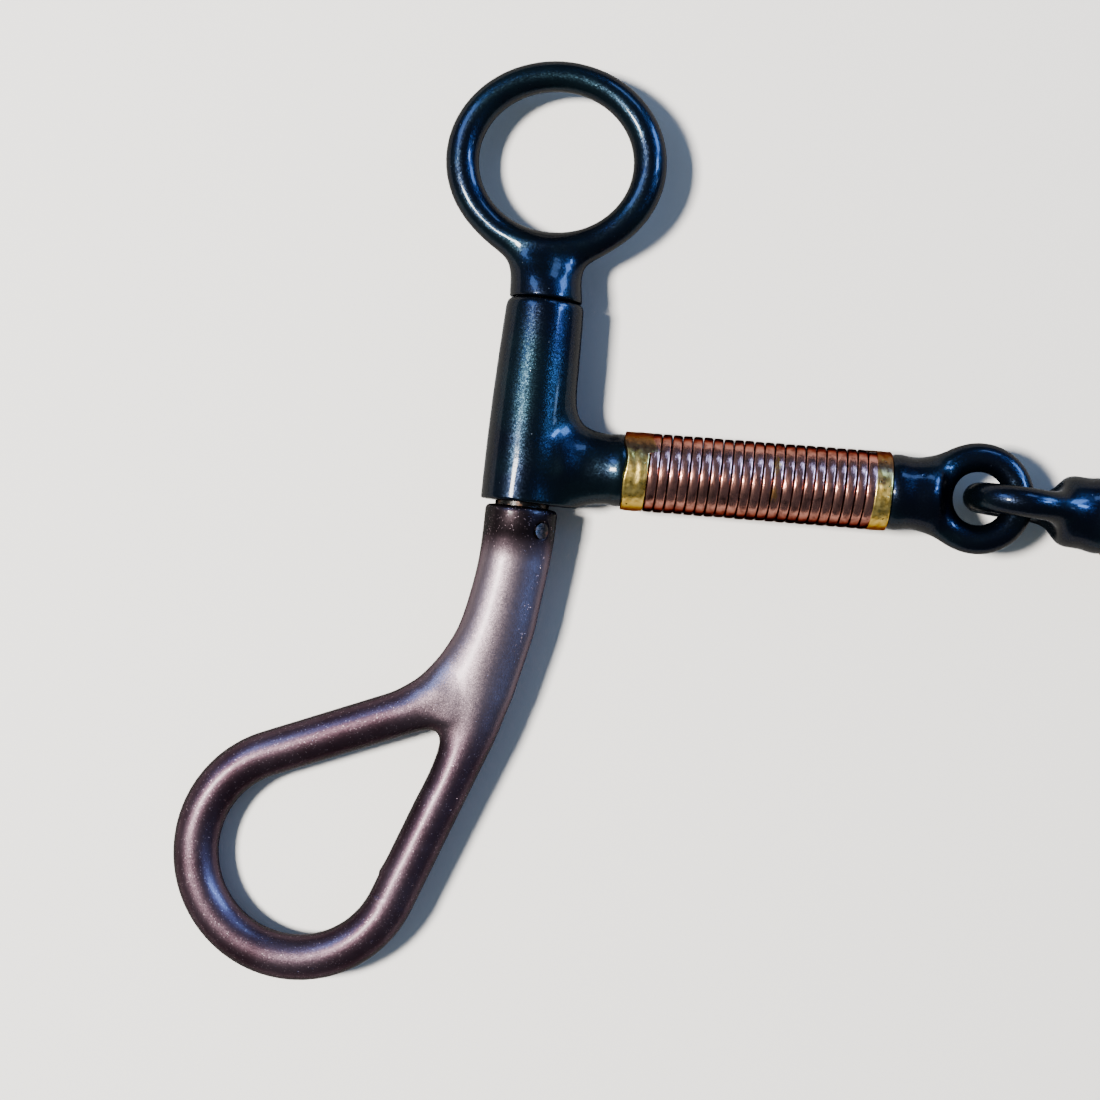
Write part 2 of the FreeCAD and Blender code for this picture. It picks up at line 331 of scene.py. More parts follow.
def casting_field(upright):
    """The field of the whole casting, with its eye lying flat or standing upright."""
    def field(x, y, z):
        along, across = onto_arm(x, y)
        tall, deep = (z, across) if upright else (across, z)
        around = np.sqrt((along - eye_centre) ** 2 + tall ** 2) - eye_ring
        eye = np.sqrt(around ** 2 + deep ** 2) - eye_wire
        return soft_min(arm_field(x, y, z), eye, 4.6)

    return field


# %% Make both arms
arms = {}
for side in ("left", "right"):
    upright = side == "right"
    deepest = 8.8 if upright else 7.0
    casting = casting_field(upright)
    casting_room = ((-6.8, -6.6, -deepest), (75.8, 24.7, deepest))
    points, quads = mesh_field(casting, *casting_room, 0.33)
    quads = outward(points, quads, casting)
    arms[side] = make_piece(side + "_sleeve_casting", points, quads, side, arm_lean[side],
                            side + "_mouth", side + "_mouth_arm")
print("eye centre", round(eye_centre, 2), "mm from the sleeve's axis")

# %% [markdown]
# ## The shank
# The shank starts as a round head of the sleeve's size, flattens into an oval stem, and splits into
# the two legs of the rein loop. The loop is round rod along two straight legs and one arc. Its centre
# line is worked out from where the legs would meet, their angles and the radius of the loop's end.

# %% The loop's centre line
loop_corner = np.array([-0.5, -32.9])
leg_angles = {"upper": 23.8, "front": 70.5}      # degrees below the horizontal, running back
loop_radius = 15.5
leg_way = {leg: -np.array([math.cos(math.radians(a)), math.sin(math.radians(a))])
           for leg, a in leg_angles.items()}
half_corner = math.radians((leg_angles["front"] - leg_angles["upper"]) / 2)
middle_way = (leg_way["upper"] + leg_way["front"]) / (2 * math.cos(half_corner))
loop_centre = loop_corner + middle_way * loop_radius / math.sin(half_corner)
leg_length = loop_radius / math.tan(half_corner)
leg_start = {"upper": 9.0, "front": 25.0}    # along each leg from that corner, inside the stem
far_away = 1e3
print("loop centre", loop_centre.round(2), "legs", round(leg_length, 2), "mm")


def leg_distance(x, y, leg):
    """Distance from a point to one straight leg's centre line."""
    dx, dy = x - loop_corner[0], y - loop_corner[1]
    along = np.clip(dx * leg_way[leg][0] + dy * leg_way[leg][1], leg_start[leg], leg_length)
    return np.hypot(dx - along * leg_way[leg][0], dy - along * leg_way[leg][1])


def end_distance(x, y):
    """Distance to the loop's round end, for points beyond the ends of the legs."""
    dx, dy = x - loop_centre[0], y - loop_centre[1]
    arc = np.abs(np.hypot(dx, dy) - loop_radius)
    angle = np.abs(np.arctan2(dx * middle_way[1] - dy * middle_way[0],
                              dx * middle_way[0] + dy * middle_way[1]))
    return np.where(angle < math.pi / 2 + half_corner, arc, far_away)


# %% [markdown]
# Seen from above, the stem bows forward and then turns into the front leg without a corner. Two curves
# say where its middle is and how wide it is at each height; from the rein loop's corner down they are
# the front leg's own line. The flat outline comes first, and then the shank is that outline made
# thick: near its edge the surface rounds over, and further in it is almost flat. That is how a forged
# and ground shank differs from bent rod, and it gives the stem one wide, calm highlight.

# %% The shank's outline, seen from above
head_top = -6.5
leg_lean = 1 / math.tan(math.radians(leg_angles["front"]))
leg_half_across = rod_half[0] / math.sin(math.radians(leg_angles["front"]))


def leg_middle(y):
    return loop_corner[0] + (y - loop_corner[1]) * leg_lean


leg_places = [-70, -60, -52, -46]            # down here the stem is the front leg
stem_places = leg_places + [-41, -37, -33, -29, -25, -20, -15, -11, -6]
stem_middle = curve_through(stem_places, [leg_middle(y) for y in leg_places] +
                            [-3.8, -3.65, -3.35, -2.6, -1.6, -0.8, -0.2, 0, 0])
stem_half_width = curve_through(stem_places, [leg_half_across] * len(leg_places) +
                                [3.95, 4.9, 5.6, 5.75, 5.55, 5.3, 5.25, 5.33, 5.35])
stem_bottom = -63            # inside the front leg


melt_widths = (5.6, 6.0)     # of the upper leg into the stem: in the fork, and what is added behind
fork_fill = 1.7              # how much narrower the edge's rounding is in the fork, which fills it


def below_upper_leg(x, y):
    """How far a point is below the upper leg's centre line."""
    return ((x - loop_corner[0]) * -leg_way["upper"][1]
            + (y - loop_corner[1]) * leg_way["upper"][0])


def shank_outline(x, y):
    """How far a point is outside the outline, and half the width of the bar it is nearest to."""
    slant = np.sqrt(1 + (stem_middle(y + 0.5) - stem_middle(y - 0.5)) ** 2)
    stem = (np.abs(x - stem_middle(y)) - stem_half_width(y)) / slant
    stem = np.maximum(stem, stem_bottom - y)
    front = leg_distance(x, y, "front") - rod_half[0]
    upper = np.minimum(leg_distance(x, y, "upper"), end_distance(x, y)) - rod_half[0]
    crotch = np.clip((y + 40) / 5, 0, 1)
    near_web = np.clip((y + 58) / 12, 0, 1)
    melt = 0.01 + near_web * (melt_widths[0] + melt_widths[1] * crotch)
    back = np.where(near_web > 0, soft_min(np.minimum(stem, front), upper, melt), far_away)
    share = np.clip(0.5 + (upper - stem) / 8, 0, 1)
    half_width = rod_half[0] + share * (stem_half_width(y) / slant - rod_half[0])
    in_fork = np.clip((below_upper_leg(x, y) + 2) / 5, 0, 1)
    between_legs = in_fork ** 2 * (3 - 2 * in_fork) * np.exp(-((upper - stem) / 4) ** 2)
    half_width = half_width - fork_fill * between_legs
    return np.minimum(back, np.minimum(np.minimum(stem, front), upper)), half_width


# %% The shank's thickness
thick_places = [-60, -45, -38, -24, -16, -13.5, -11.5, -9.5, -8, -6]
half_thickness = curve_through(thick_places,
                               [3.2, 3.25, 3.45, 3.65, 3.75, 3.9, 4.4, 5.05, 5.3, 5.35])
edge_depth = curve_through(thick_places,     # how deep the rounding of the edge goes
                           [3.15, 3.15, 3.2, 3.3, 3.5, 3.75, 4.35, 5.05, 5.3, 5.35])
shank_tenon = (2.75, -15.0)      # radius and lower end of the spindle's tenon
pin_end = (4.0, -9.8, 4.0)       # where the lock pin comes out of the head
pin_hollow = 1.3                 # radius of the hollow round the pin's end


def shank_field(x, y, z):
    outline, half_width = shank_outline(x, y)
    in_from_edge = soft_max(outline / half_width + 1, 0, 0.4)
    up = np.maximum(np.abs(z) - half_thickness(y) + edge_depth(y), 0) / edge_depth(y)
    inside = np.maximum(in_from_edge - 1, (np.abs(z) - half_thickness(y)) / edge_depth(y))
    rounded = np.hypot(in_from_edge, up) - 1
    body = np.where((in_from_edge > 0) & (up > 0), rounded, inside) * rod_half[1]
    body = soft_max(body, y - head_top, 1.2)
    from_pin = (x - pin_end[0]) ** 2 + (y - pin_end[1]) ** 2 + (z - pin_end[2]) ** 2
    hollow = np.sqrt(from_pin) - pin_hollow
    body = soft_max(body, -hollow, 0.5)
    hole = np.maximum(np.sqrt(x ** 2 + z ** 2) - shank_tenon[0], shank_tenon[1] - y)
    return soft_max(body, -hole, 0.1)


# %% Make both shanks
shank_room = ((-47.4, -81.7, -5.8), (6.2, -6.0, 5.8))
points, quads = mesh_field(shank_field, *shank_room, 0.31)
quads = outward(points, quads, shank_field)
shanks = {}
for side in ("left", "right"):
    shanks[side] = make_piece(side + "_shank_forging", points, quads, side, cheek_lean,
                              side + "_cheek", side + "_shank")

# %% [markdown]
# ## The copper winding
# Each arm is wound with one length of flattened copper wire, so that a horse finds something to taste
# and play with. An array of rings would look right from afar, but a real winding is one helix: every
# turn leans by the same lead. Here a section is carried along that helix. Slow, seeded wanderings in
# the lead, the height and the tilt stand for a wire that was wound by hand and filed afterwards. Both
# ends dive a little, and the one at the eye is tucked under the brass.

# %% Slow wandering, for anything made by hand
chance = np.random.default_rng(11)


def wandering(size, waves, periods):
    """A smooth random function of place: a few sine waves with their own lengths and starts."""
    lengths = chance.uniform(periods[0], periods[1], waves)
    starts = chance.uniform(0, 2 * math.pi, waves)

    def value_at(place):
        rises = [np.sin(2 * math.pi * place / length + start)
                 for length, start in zip(lengths, starts)]
        return size * sum(rises) / math.sqrt(waves)

    return value_at


# %% The helix
winding_ends = (17.6, 50.6)      # along the arm, between the wire's own end centres
wire_pitch = 1.505
wire_half = (0.705, 0.62)        # half width along the arm, half height
wire_centre_radius = 5.23
wire_steps = 64                  # to a turn
emerging_angle = math.radians(60)
tucked_angle = math.radians(25)  # how much of the other end lies under the brass
wire_turns = (winding_ends[1] - winding_ends[0]) / wire_pitch
end_dive = 0.35                  # how far its ends sink towards the arm


def flat_section(points=20, squareness=5.0):
    """Points round a flattened wire: an oval with squared shoulders, one unit in each half size."""
    around = 2 * math.pi * np.arange(points) / points
    across, up = np.cos(around), np.sin(around)
    return (np.sign(across) * np.abs(across) ** (2 / squareness),
            np.sign(up) * np.abs(up) ** (2 / squareness))


def wire_place(angle):
    """How far along the arm the wire lies. From the ring side over the top it moves outwards."""
    return winding_ends[1] - wire_pitch * angle / (2 * math.pi)


def wound_wire():
    """Points and quads of one flattened wire wound on an arm."""
    lead, lift = wandering(0.014, 4, (1.7, 9.0)), wandering(0.02, 5, (0.9, 6.0))
    tilt, width = wandering(0.045, 5, (0.8, 5.0)), wandering(0.008, 4, (1.1, 7.0))
    section_across, section_up = flat_section()
    last_angle = 2 * math.pi * wire_turns + emerging_angle
    steps = int(wire_steps * last_angle / (2 * math.pi))
    angle = np.linspace(-tucked_angle, last_angle, steps)[:, None]
    turn = angle / (2 * math.pi)
    half_width = wire_half[0] + width(turn)
    across = section_across * half_width
    up = section_up * wire_half[1]
    lean = tilt(turn)
    along = wire_place(angle) + lead(turn) + across * np.cos(lean) - up * np.sin(lean)
    dive = np.clip(1 - turn / 0.15, 0, 1) ** 2 + np.clip(1 - (turn[-1] - turn) / 0.2, 0, 1) ** 2
    radius = (wire_centre_radius + lift(turn) + up * np.cos(lean) + across * np.sin(lean)
              - end_dive * dive)
    points = off_arm(along, radius * np.cos(angle), radius * np.sin(angle))
    rows, columns = points.shape[:2]
    index = np.arange(rows * columns).reshape(rows, columns)
    faces = [list(index[0][::-1]), list(index[-1])]
    turned = np.roll(index, -1, axis=1)
    sides = np.stack([index[:-1], turned[:-1], turned[1:], index[1:]], axis=-1)
    return points.reshape(-1, 3), faces + sides.reshape(-1, 4).tolist()


# %% Wind both arms
wires = {}
for side in ("left", "right"):
    points, faces = wound_wire()
    wires[side] = make_piece(side + "_wound_wire", points, faces, side, arm_lean[side],
                             side + "_mouth", side + "_copper_winding")
print("turns", round(wire_turns, 1))

# %% [markdown]
# ## The brass bands
# At each end the winding is brazed to the arm and filed to a band. Molten brass stops where it likes,
# so its edges wander. At the outer band it also covers the top of the wire's first turn and leaves a
# step where the wire comes out. A cylinder with a material could not show that step, so the band is a
# sleeve whose two edges are functions of the angle round the arm.

# %% A band from its two edges
band_radii = (4.62, 5.84)        # inside and outside
band_round = 0.22                # at its edges


def brazed_band(left_edge, right_edge, lumps, columns=180, rows=14):
    """Points and quads of a closed sleeve. The edges and lumps are functions of the angle."""
    angle = 2 * math.pi * np.arange(columns)[:, None] / columns
    share = np.linspace(0, 1, rows)[None, :]
    left, right = left_edge(angle), right_edge(angle)
    flat_along = left + band_round + share * (right - left - 2 * band_round)
    flat_radius = band_radii[1] + lumps(angle, flat_along)
    corner = np.radians([80, 55, 28])[None, :]
    left_along = left + band_round * (1 - np.sin(corner[:, ::-1]))[:, ::-1]
    left_radius = flat_radius[:, :1] - band_round * (1 - np.cos(corner))
    right_along = right - band_round * (1 - np.sin(corner[:, ::-1]))
    right_radius = flat_radius[:, -1:] - band_round * (1 - np.cos(corner[:, ::-1]))
    inner = np.full_like(left, band_radii[0])
    along = np.concatenate([left, left_along, flat_along, right_along, right], axis=1)
    radius = np.concatenate([inner, left_radius, flat_radius, right_radius, inner], axis=1)
    points = off_arm(along, radius * np.cos(angle), radius * np.sin(angle))
    index = np.arange(points.shape[0] * points.shape[1]).reshape(points.shape[:2])
    here, there = index, np.roll(index, -1, axis=0)
    quads = np.stack([here, there, np.roll(there, -1, axis=1), np.roll(here, -1, axis=1)], axis=-1)
    return points.reshape(-1, 3), quads.reshape(-1, 4).tolist()


# %% The edges of the brass
def steps_between(places, values):
    """A function of the angle through given values, in degrees, that closes on itself."""
    places = [place - 360 for place in places] + places + [place + 360 for place in places]
    smooth = curve_through(places, values * 3)
    return lambda angle: smooth(np.degrees(angle))


outer_left = steps_between([15, 48, 56, 92, 100, 140, 172, 230, 300, 345],
                           [14.2, 14.2, 14.5, 14.55, 14.4, 14.3, 14.2, 14.3, 14.1, 14.2])
inner_right = steps_between([0, 120, 240], [53.35, 53.25, 53.4])
end_edge = wandering(0.03, 4, (20, 70))
clear_of_wire = wire_half[0] + 0.09
over_wire = wire_half[0] + 0.02
into_wire = 0.15                 # how far the inner band runs onto the wire's last turn


def outer_right(angle):
    """Covers the wire's first turn up to where it emerges, then follows its edge."""
    first_turn = wire_place(2 * math.pi * math.floor(wire_turns) + angle)
    emerging = np.clip((np.degrees(angle) - math.degrees(emerging_angle)) / 3, 0, 1)
    covering = np.clip((np.degrees(angle) - 285) / 45, 0, 1)
    cover = first_turn + over_wire
    clear = first_turn - clear_of_wire
    return cover + (clear - cover) * emerging * (1 - covering) + covering * wire_pitch


def inner_left(angle):
    """Follows the wire's last turn."""
    return wire_place(angle) + wire_half[0] - into_wire


# %% Make the bands
band_edges = {"outer": (outer_left, outer_right), "inner": (inner_left, inner_right)}
bands = {}
for side in ("left", "right"):
    swell, ripple = wandering(0.02, 3, (2.0, 5.0)), wandering(0.02, 3, (1.2, 2.6))

    def lumps(angle, along):
        return swell(along + 2 * np.cos(angle)) + ripple(3 * np.sin(angle) - along)

    for name, edges in band_edges.items():
        points, faces = brazed_band(*edges, lumps)
        label = f"{side}_{name}_brazing"
        bands[label] = make_piece(label, points, faces, side, arm_lean[side],
                                  side + "_mouth", f"{side}_{name}_band")

# %% [markdown]
# ## How the finishes are built
# Every finish is a network of nodes on one shader. Painting them as pictures would need unwrapped
# surfaces and would blur up close; noise measured in millimetres stays sharp at any distance. Each
# network first works out where a point lies on its own half of the bit, so that wear can sit where
# hands and reins really rub, and painted highlights and shade can sit where the light falls.

# %% Small tools for node networks
def node(tree, kind, sockets=None, **settings):
    """Adds a node. A socket that is given another node's output is linked, and others are set."""
    made = tree.nodes.new("ShaderNode" + kind)
    for name, value in settings.items():
        setattr(made, name, value)
    for name, value in (sockets or {}).items():
        if isinstance(value, bpy.types.NodeSocket):
            tree.links.new(value, made.inputs[name])
        else:
            made.inputs[name].default_value = value
    return made


def sums(tree, operation, a, b=0.0, c=0.0):
    """One step of arithmetic with numbers or other nodes' outputs."""
    return node(tree, "Math", {0: a, 1: b, 2: c}, operation=operation).outputs[0]


def between(tree, value, low, high):
    """0 below low, 1 above high, smooth in between. With low above high it falls instead."""
    return node(tree, "MapRange", {"Value": value, "From Min": low, "From Max": high},
                interpolation_type="SMOOTHSTEP").outputs[0]


def noise(tree, place, size, detail=3.0, roughness=0.55):
    """Cloudy noise whose lumps are about this many millimetres across."""
    return node(tree, "TexNoise", {"Vector": place, "Scale": 1 / size, "Detail": detail,
                                   "Roughness": roughness}).outputs["Fac"]


def mixed(tree, share, a, b):
    """Blends two colours."""
    made = node(tree, "Mix", {0: share}, data_type="RGBA")
    for socket, colour in ((made.inputs[6], a), (made.inputs[7], b)):
        if isinstance(colour, bpy.types.NodeSocket):
            tree.links.new(colour, socket)
        else:
            socket.default_value = (*colour, 1)
    return made.outputs[2]


# %% The start of every finish
def finish(name, side):
    """A new material, its tree and shader, and where a point lies on its half, in millimetres."""
    material = bpy.data.materials.new(f"{side}_{name}")
    material.use_nodes = True
    tree = material.node_tree
    flip = -1 if side == "right" else 1
    raw = node(tree, "TexCoord").outputs["Object"]
    place = node(tree, "VectorMath", {0: raw, 1: (flip / MM, 1 / MM, 1 / MM)}, operation="MULTIPLY")
    return material, tree, tree.nodes["Principled BSDF"], place.outputs[0]


def set_shader(tree, shader, sockets):
    """Links or sets the shader's sockets by name."""
    for name, value in sockets.items():
        if isinstance(value, bpy.types.NodeSocket):
            tree.links.new(value, shader.inputs[name])
        else:
            shader.inputs[name].default_value = value


def flakes(tree, place, size, tilt):
    """The surface's normal, tilted a little in each tiny cell, as grains of metal are."""
    cells = node(tree, "TexVoronoi", {"Vector": place, "Scale": 1 / size})
    centred = node(tree, "VectorMath", {0: cells.outputs["Color"], 1: (0.5, 0.5, 0.5)},
                   operation="SUBTRACT")
    tilted = node(tree, "VectorMath", {0: centred.outputs[0], "Scale": tilt}, operation="SCALE")
    normal = node(tree, "NewGeometry").outputs["Normal"]
    total = node(tree, "VectorMath", {0: normal, 1: tilted.outputs[0]}, operation="ADD")
    return node(tree, "VectorMath", {0: total.outputs[0]}, operation="NORMALIZE").outputs[0]


def bump(tree, height, depth, normal=None):
    """Raises the surface by height times depth, in millimetres."""
    sockets = {"Height": height, "Distance": depth * MM}
    if normal is not None:
        sockets["Normal"] = normal
    return node(tree, "Bump", sockets).outputs[0]


# %% [markdown]
# ## Blued steel
# The rings, sleeves and arms are steel heated until its skin turns blue black, then oiled. Light does
# two things there: the oiled skin mirrors the studio sharply, and the metal under it scatters a soft,
# grainy glow. So the shader is a dark metal with fuzzy reflections below a thin, smooth coat. A dark
# specular tint keeps the rims from turning pale, which real blueing doesn't do either. The colour
# drifts between navy and teal, as heat colours do.

# %% The blued finish
def blued_steel(side):
    material, tree, shader, place = finish("blued_steel", side)
    drift = between(tree, noise(tree, place, 9.0, 2.0), 0.35, 0.68)
    colour = mixed(tree, drift, (0.0034, 0.0052, 0.0105), (0.0048, 0.0110, 0.0150))
    speck = between(tree, noise(tree, place, 0.30, 1.0), 0.80, 0.84)
    colour = mixed(tree, speck, colour, (0.30, 0.36, 0.44))
    grain = noise(tree, place, 0.22, 2.0)
    normal = flakes(tree, place, 0.15, 0.16)
    normal = bump(tree, noise(tree, place, 1.6, 2.0), 0.018, normal)
    set_shader(tree, shader, {
        "Base Color": colour, "Metallic": 0.9, "Normal": normal,
        "Roughness": sums(tree, "MULTIPLY_ADD", grain, 0.12, 0.24),
        "Specular Tint": (0.12, 0.15, 0.20, 1),
        "Coat Weight": 0.05, "Coat Roughness": 0.08, "Coat IOR": 2.0})
    tree.links.new(bump(tree, noise(tree, place, 2.4, 3.0), 0.012), shader.inputs["Coat Normal"])
    return material


# %% [markdown]
# ## Browned steel
# The shanks are rust-browned: a thin, hard, plum brown skin with the steel's own grain glinting
# through. It is rougher than the blued parts, so its highlights are wide and sparkle. A painted
# highlight makes the stem's flat paler, and a painted shade makes the head by the sleeve near black.
# Along the front edge, where the rein hand and the manger rub, small chips show bright metal.

# %% The browned finish
chip_line = (3.9, -14.0, 0.14)       # x at a height, and how it moves back for each millimetre down
chip_heights = (-31.0, -12.0)
chip_chance = 0.10
shaded_head = (-13.5, -10.0)           # the painted shade on the head begins and is full
# Where the stem's flat is painted paler, a painted highlight: its top, its bottom, and across
stem_sheen_top, stem_sheen_bottom = (-10.5, -15.0), (-44.0, -33.0)
stem_sheen_across = (-17.0, -5.0)
glint_size = 0.14


def browned_steel(side):
    material, tree, shader, place = finish("browned_steel", side)
    x, y, z = node(tree, "SeparateXYZ", {0: place}).outputs
    drift = between(tree, noise(tree, place, 12.0, 3.0), 0.3, 0.7)
    colour = mixed(tree, drift, (0.024, 0.012, 0.016), (0.044, 0.028, 0.035))
    # A painted highlight: the flat of the stem is painted paler
    painted_stem_sheen = sums(tree, "MULTIPLY", between(tree, y, *stem_sheen_top), between(tree, y, *stem_sheen_bottom))
    painted_stem_sheen = sums(tree, "MULTIPLY", painted_stem_sheen, between(tree, x, *stem_sheen_across))
    # A painted shade: the head beside the sleeve is painted nearly black
    colour = mixed(tree, between(tree, y, *shaded_head), colour, (0.009, 0.006, 0.007))
    colour = mixed(tree, painted_stem_sheen, colour, (0.082, 0.062, 0.069))
    cells = node(tree, "TexVoronoi", {"Vector": place, "Scale": 1 / glint_size})
    glint = node(tree, "SeparateColor", {0: cells.outputs["Color"]}).outputs[0]
    colour = mixed(tree, between(tree, glint, 0.95, 1.0), colour, (0.11, 0.08, 0.09))
    down = sums(tree, "SUBTRACT", y, chip_line[1])
    edge = sums(tree, "MULTIPLY_ADD", down, chip_line[2], chip_line[0])
    near_edge = between(tree, sums(tree, "ABSOLUTE", sums(tree, "SUBTRACT", x, edge)), 0.9, 0.1)
    on_stem = sums(tree, "MULTIPLY", between(tree, y, chip_heights[0], chip_heights[0] + 4),
                   between(tree, y, chip_heights[1], chip_heights[1] - 2))
    chance_here = sums(tree, "MULTIPLY", sums(tree, "MULTIPLY", near_edge, on_stem), chip_chance)
    spots = sums(tree, "ADD", noise(tree, place, 0.45, 2.0), chance_here)
    chip = between(tree, spots, 0.74, 0.77)
    colour = mixed(tree, chip, colour, (0.28, 0.20, 0.21))
    normal = flakes(tree, place, 0.11, 0.11)
    normal = bump(tree, noise(tree, place, 2.8, 2.0), 0.03, normal)
    normal = bump(tree, chip, -0.03, normal)
    set_shader(tree, shader, {
        "Base Color": colour, "Metallic": 0.92, "Normal": normal,
        "Roughness": sums(tree, "MULTIPLY_ADD", noise(tree, place, 0.8, 3.0), 0.10, 0.35),
        "Specular Tint": (0.14, 0.10, 0.12, 1),
        "Coat Weight": 0.03, "Coat Roughness": 0.2, "Coat IOR": 2.0})
    return material


# %% [markdown]
# ## Copper and brass
# Copper is redder and softer than brass. The crests that face up or down are painted bright, a painted
# highlight, and the sides that turn away are painted dark, a painted shade; so are the grooves between
# the turns. So the colour depends on how high a point is above the arm's middle, and on how far it is
# from the arm's axis. A little braze has run over two places on the winding. The bands are the same
# braze in bulk: yellow, clouded with copper that it dissolved, and pitted by gas, with their sides
# painted darker, a painted shade.

# %% How far a point is from the arm's axis
def on_arm(tree, place):
    """Along the arm, across it, up, and out from its axis."""
    turned = node(tree, "VectorRotate", {"Vector": place, "Angle": -arm_rise}, rotation_type="Z_AXIS")
    along, across, up = node(tree, "SeparateXYZ", {0: turned.outputs[0]}).outputs
    out = sums(tree, "SQRT", sums(tree, "ADD", sums(tree, "MULTIPLY", across, across),
                                  sums(tree, "MULTIPLY", up, up)))
    return turned.outputs[0], along, across, up, out


# %% Smears of braze on the winding
smears = ((36.4, 2.3, 0.7, 1.7), (36.2, -1.9, 0.8, 1.5))     # along, across, and half sizes
top_light_heights = (1.6, 5.0)      # above or below the arm's middle: where the painted top light begins, is full


def squared_reach(tree, value, centre, half_size):
    """How far a value is from a centre, in half sizes, squared."""
    away = sums(tree, "ABSOLUTE", sums(tree, "SUBTRACT", value, centre))
    return sums(tree, "POWER", sums(tree, "DIVIDE", away, half_size), 2.0)


# %% The copper finish
def copper_wire(side):
    material, tree, shader, place = finish("copper_wire", side)
    turned, along, across, up, out = on_arm(tree, place)
    cloud = noise(tree, place, 1.3, 4.0, 0.65)
    # Painted highlight and painted shade: crests facing up or down are painted bright copper where a
    # cloud allows, the sides nearly black
    painted_top_light = between(tree, sums(tree, "ABSOLUTE", up), *top_light_heights)
    painted_top_light = sums(tree, "MULTIPLY", painted_top_light, between(tree, cloud, 0.20, 0.62))
    colour = mixed(tree, painted_top_light, (0.045, 0.018, 0.015), (0.38, 0.165, 0.125))
    stain = between(tree, noise(tree, place, 3.2, 3.0), 0.56, 0.70)
    colour = mixed(tree, sums(tree, "MULTIPLY", stain, 0.6), colour, (0.17, 0.075, 0.055))
    braze = None
    for centre, side_place, half_length, half_width in smears:
        far = sums(tree, "ADD", squared_reach(tree, along, centre, half_length),
                   squared_reach(tree, across, side_place, half_width))
        ragged = sums(tree, "MULTIPLY_ADD", noise(tree, place, 0.4, 3.0), 2.9, far)
        spot = sums(tree, "MULTIPLY", between(tree, ragged, 2.1, 1.6), between(tree, up, 0.0, 1.0))
        braze = spot if braze is None else sums(tree, "MAXIMUM", braze, spot)
    colour = mixed(tree, sums(tree, "MULTIPLY", braze, 0.8), colour, (0.40, 0.19, 0.045))
    # A painted shade: the wire is painted nearly black low down towards the arm, in the grooves between
    # the turns
    depth = between(tree, out, wire_centre_radius + 0.45, wire_centre_radius + 0.05)
    colour = mixed(tree, depth, colour, (0.035, 0.014, 0.010))
    stretched = node(tree, "VectorMath", {0: turned, 1: (1.0, 0.25, 0.25)}, operation="MULTIPLY")
    dents = noise(tree, stretched.outputs[0], 0.55, 3.0)
    normal = bump(tree, dents, 0.08)
    normal = bump(tree, noise(tree, place, 0.18, 2.0), 0.008, normal)
    set_shader(tree, shader, {
        "Base Color": colour, "Metallic": 1.0, "Normal": normal,
        "Specular Tint": (0.13, 0.075, 0.065, 1),
        "Roughness": sums(tree, "MULTIPLY_ADD", cloud, -0.18, 0.32)})
    return material


# %% The brass finish
def brazed_brass(side):
    material, tree, shader, place = finish("brazed_brass", side)
    across, up = on_arm(tree, place)[2:4]
    cloud = noise(tree, place, 1.0, 4.0, 0.6)
    colour = mixed(tree, between(tree, cloud, 0.35, 0.65), (0.36, 0.23, 0.040), (0.62, 0.44, 0.12))
    # A painted shade: the sides of the band that turn away are painted dark brass
    painted_top_light = between(tree, sums(tree, "ABSOLUTE", up), *top_light_heights)
    colour = mixed(tree, painted_top_light, (0.15, 0.095, 0.022), colour)
    # Copper that the braze dissolved, and a painted shade: the side towards the ring is clouded dark
    # coppery
    wavy = sums(tree, "MULTIPLY_ADD", noise(tree, place, 1.9, 3.0), 7.0, across)
    copper_tint_and_shade = sums(tree, "MULTIPLY", between(tree, wavy, 3.6, 6.6), 0.9)
    colour = mixed(tree, copper_tint_and_shade, colour, (0.085, 0.040, 0.028))
    pits = node(tree, "TexVoronoi", {"Vector": place, "Scale": 1 / 1.5, "Randomness": 1.0})
    pit = between(tree, pits.outputs["Distance"], 0.13, 0.06)
    colour = mixed(tree, pit, colour, (0.03, 0.025, 0.012))
    green = between(tree, noise(tree, place, 0.8, 2.0), 0.62, 0.75)
    colour = mixed(tree, sums(tree, "MULTIPLY", green, 0.5), colour, (0.22, 0.20, 0.06))
    normal = bump(tree, noise(tree, place, 0.7, 3.0), 0.05)
    normal = bump(tree, pit, -0.08, normal)
    set_shader(tree, shader, {
        "Base Color": colour, "Metallic": 1.0, "Normal": normal,
        "Specular Tint": (0.25, 0.16, 0.06, 1),
        "Roughness": sums(tree, "MULTIPLY_ADD", cloud, 0.20, 0.20)})
    return material


# %% [markdown]
# ## Bright steel
# The spindle, the washer and the lock pins are left as they came off the lathe. Their turning marks are
# fine rings, so a wave along the axis tints them, and a cloud of rust stains and dulls them. Their
# colour is painted very dark, a painted shade, since the washer sits in the dark gap between sleeve and
# head.

# %% The turned finish
def bright_steel(side):
    material, tree, shader, place = finish("bright_steel", side)
    marks = node(tree, "TexWave", {"Vector": place, "Scale": 2.2, "Distortion": 1.5, "Detail": 2.0},
                 bands_direction="Y").outputs["Fac"]
    stain = between(tree, noise(tree, place, 1.2, 3.0), 0.45, 0.7)
    # A painted shade: the turned steel is painted very dark, for the washer in the gap between sleeve
    # and head
    colour = mixed(tree, marks, (0.022, 0.020, 0.020), (0.05, 0.047, 0.045))
    colour = mixed(tree, sums(tree, "MULTIPLY", stain, 0.7), colour, (0.09, 0.04, 0.02))
    set_shader(tree, shader, {
        "Base Color": colour, "Metallic": 1.0, "Normal": bump(tree, marks, 0.01),
        "Specular Tint": (0.15, 0.14, 0.13, 1),
        "Roughness": sums(tree, "MULTIPLY_ADD", stain, 0.25, 0.25)})
    return material


# %% Put the finishes on
def wear(piece, material):
    """Gives a piece one finish."""
    piece.data.materials.clear()
    piece.data.materials.append(material)


